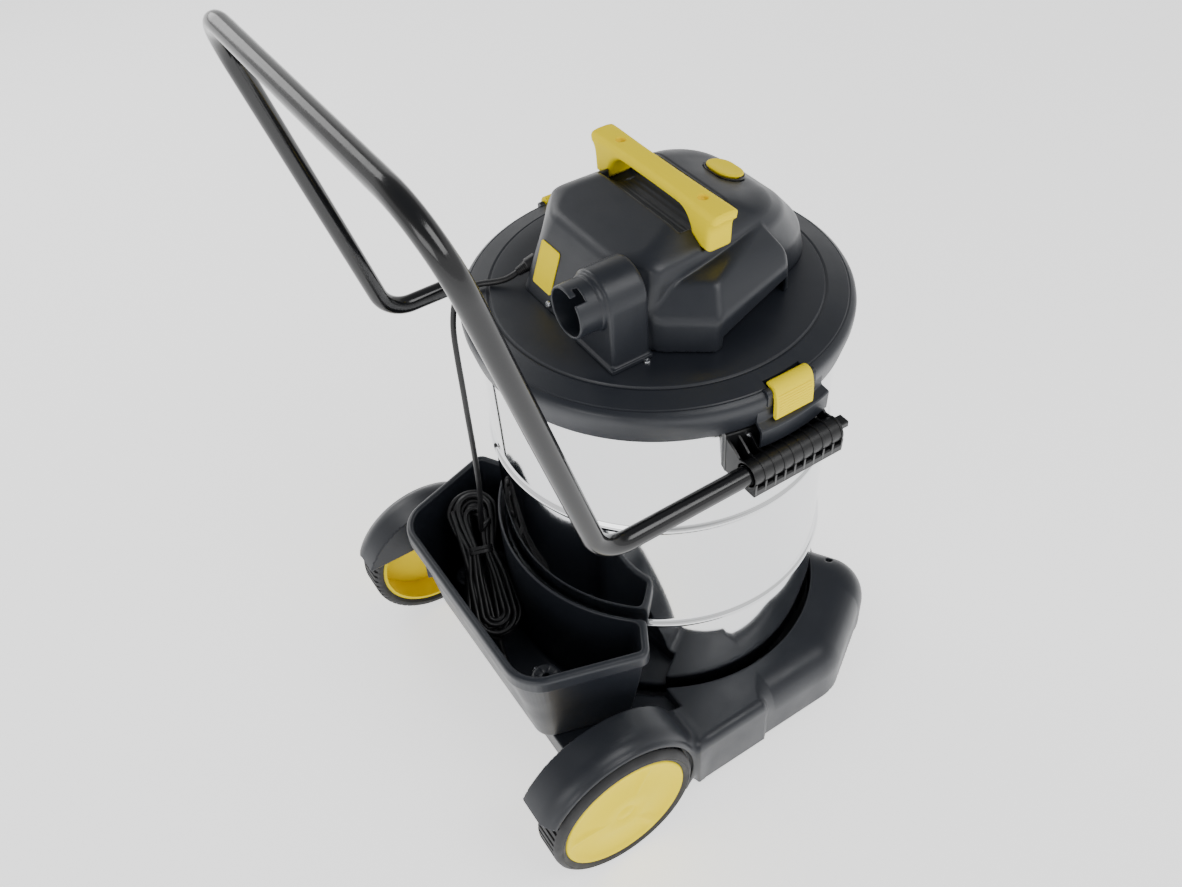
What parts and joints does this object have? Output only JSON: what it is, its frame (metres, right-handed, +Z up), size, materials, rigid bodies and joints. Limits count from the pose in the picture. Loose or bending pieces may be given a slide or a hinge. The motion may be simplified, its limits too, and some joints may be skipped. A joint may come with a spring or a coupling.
{
  "type": "shop vacuum",
  "caption": "Wet and dry shop vacuum: polished steel drum on a wheeled chassis with a lift-off motor head, bent-tube push handle and a rear tray holding a hanked cord.",
  "frame": {"origin": "centre of the plan box, on the floor the wheels stand on", "axes": "+Z up, -Y the front with the hose inlet and casters, +Y the rear with tray, axle and push handle"},
  "size_m": [0.546, 0.597, 0.966],
  "materials": {
    "slate_plastic": "fine-textured satin moulded plastic",
    "black_plastic": "satin moulded plastic",
    "yellow_plastic": "satin-gloss moulded plastic",
    "polished_steel": "mirror-polished stainless sheet",
    "plain_steel": "plain zinc-plated steel",
    "black_tube": "gloss black enamel on steel tube",
    "tyre_rubber": "matte moulded tread",
    "black_rubber": "smooth soft black",
    "aluminium_shell": "pressed sheet",
    "filter_cloth": "pleated non-woven cloth",
    "white_plastic": "smooth hollow float"
  },
  "bodies": {
    "root": {"chassis": "slate_plastic", "rear_axle": "plain_steel", "wheel_washers": "plain_steel", "drum_shell": "polished_steel", "drum_base": "polished_steel", "drum_screws": "plain_steel", "inlet_housing": "black_plastic", "inlet_gasket": "black_rubber", "inlet_screws": "plain_steel", "inlet_elbow": "black_plastic", "rear_tray": "slate_plastic", "accessory_pegs": "slate_plastic", "tray_screws": "plain_steel", "bracket_left": "black_plastic", "bracket_right": "black_plastic", "bracket_screws": "plain_steel", "push_handle": "black_tube", "tube_plugs": "black_plastic", "cord_hank": "black_rubber", "cord_tie": "black_rubber", "cord_tail": "black_rubber", "plug": "black_plastic"},
    "wheel_left": {"tyre_left": "tyre_rubber", "wheel_disc_left": "yellow_plastic"},
    "wheel_right": {"tyre_right": "tyre_rubber", "wheel_disc_right": "yellow_plastic"},
    "caster_left": {"caster_fork_left": "black_plastic", "caster_axle_left": "plain_steel"},
    "caster_right": {"caster_fork_right": "black_plastic", "caster_axle_right": "plain_steel"},
    "caster_roll_left": {"caster_wheel_left": "black_rubber"},
    "caster_roll_right": {"caster_wheel_right": "black_rubber"},
    "head": {"lid": "slate_plastic", "lid_seal": "black_rubber", "head_cover": "slate_plastic", "exhaust_grilles": "black_plastic", "blower_housing": "slate_plastic", "spec_plate": "yellow_plastic", "cover_screws": "plain_steel", "carry_handle": "yellow_plastic", "handle_screws": "plain_steel", "switch_bezel": "black_plastic", "latch_pins": "plain_steel", "fan_housing": "aluminium_shell", "motor_stator": "plain_steel", "motor_bracket": "aluminium_shell", "float_cage": "black_plastic", "filter_sleeve": "filter_cloth", "filter_cap": "black_plastic", "cable_gland": "black_rubber", "cord_run": "black_rubber"},
    "switch": {"switch_button": "yellow_plastic"},
    "latch_left": {"latch_left": "yellow_plastic"},
    "latch_right": {"latch_right": "yellow_plastic"},
    "motor_rotor": {"rotor": "plain_steel", "impeller": "aluminium_shell"},
    "float": {"float_ball": "white_plastic"}
  },
  "joints": [
    {"name": "wheel_left_spin", "type": "hinge", "parent": "root", "child": "wheel_left", "pos_m": [-0.248, 0.1905, 0.1], "axis": [1, 0, 0], "continuous": true},
    {"name": "wheel_right_spin", "type": "hinge", "parent": "root", "child": "wheel_right", "pos_m": [0.248, 0.1905, 0.1], "axis": [1, 0, 0], "continuous": true},
    {"name": "caster_left_swivel", "type": "hinge", "parent": "root", "child": "caster_left", "pos_m": [-0.155, -0.2245, 0.06], "axis": [0, 0, 1], "continuous": true},
    {"name": "caster_right_swivel", "type": "hinge", "parent": "root", "child": "caster_right", "pos_m": [0.155, -0.2245, 0.06], "axis": [0, 0, 1], "continuous": true},
    {"name": "caster_left_roll", "type": "hinge", "parent": "caster_left", "child": "caster_roll_left", "pos_m": [-0.155, -0.2045, 0.025], "axis": [1, 0, 0], "continuous": true},
    {"name": "caster_right_roll", "type": "hinge", "parent": "caster_right", "child": "caster_roll_right", "pos_m": [0.155, -0.2045, 0.025], "axis": [1, 0, 0], "continuous": true},
    {"name": "head_lift", "type": "slide", "parent": "root", "child": "head", "axis": [0, 0, 1], "range_m": [0, 0.3]},
    {"name": "latch_left_swing", "type": "hinge", "parent": "head", "child": "latch_left", "pos_m": [-0.2145, -0.0665, 0.619], "axis": [0, 1, 0], "range_deg": [0, 80]},
    {"name": "latch_right_swing", "type": "hinge", "parent": "head", "child": "latch_right", "pos_m": [0.2145, -0.0665, 0.619], "axis": [0, -1, 0], "range_deg": [0, 80]},
    {"name": "switch_press", "type": "slide", "parent": "head", "child": "switch", "axis": [0, 0.2419, -0.9703], "range_m": [0, 0.003], "stiffness_N_per_m": 600, "springref_m": -0.001},
    {"name": "motor_spin", "type": "hinge", "parent": "head", "child": "motor_rotor", "pos_m": [0, -0.0565, 0.62], "axis": [0, 0, 1], "continuous": true},
    {"name": "float_rise", "type": "slide", "parent": "head", "child": "float", "axis": [0, 0, 1], "range_m": [0, 0.03]}
  ]
}
